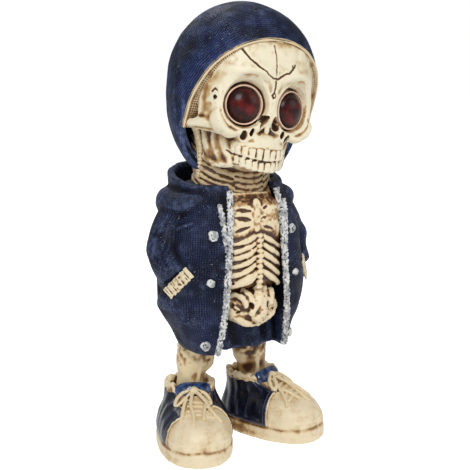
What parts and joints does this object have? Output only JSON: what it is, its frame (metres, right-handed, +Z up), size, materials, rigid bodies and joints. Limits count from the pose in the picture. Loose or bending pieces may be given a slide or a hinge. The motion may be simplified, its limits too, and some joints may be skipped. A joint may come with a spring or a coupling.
{
  "type": "skeleton figurine",
  "caption": "Standing cast resin skeleton in a hooded open jacket and sneakers, hands in pockets, with red lens eyes.",
  "frame": {"origin": "bottom centre of the part's bounding box, level with both soles", "axes": "+Z up from the soles to the hood, -Y the way the figure faces, +X to the figure's left"},
  "size_m": [0.0608, 0.0462, 0.1498],
  "materials": {
    "painted_resin": "hand painted in matt ivory, navy and grey with a brown wash",
    "red_lens": "clear dark red acrylic, polished"
  },
  "bodies": {
    "root": {"skeleton_casting": "painted_resin", "eye_lens_left": "red_lens", "eye_lens_right": "red_lens"}
  },
  "joints": []
}
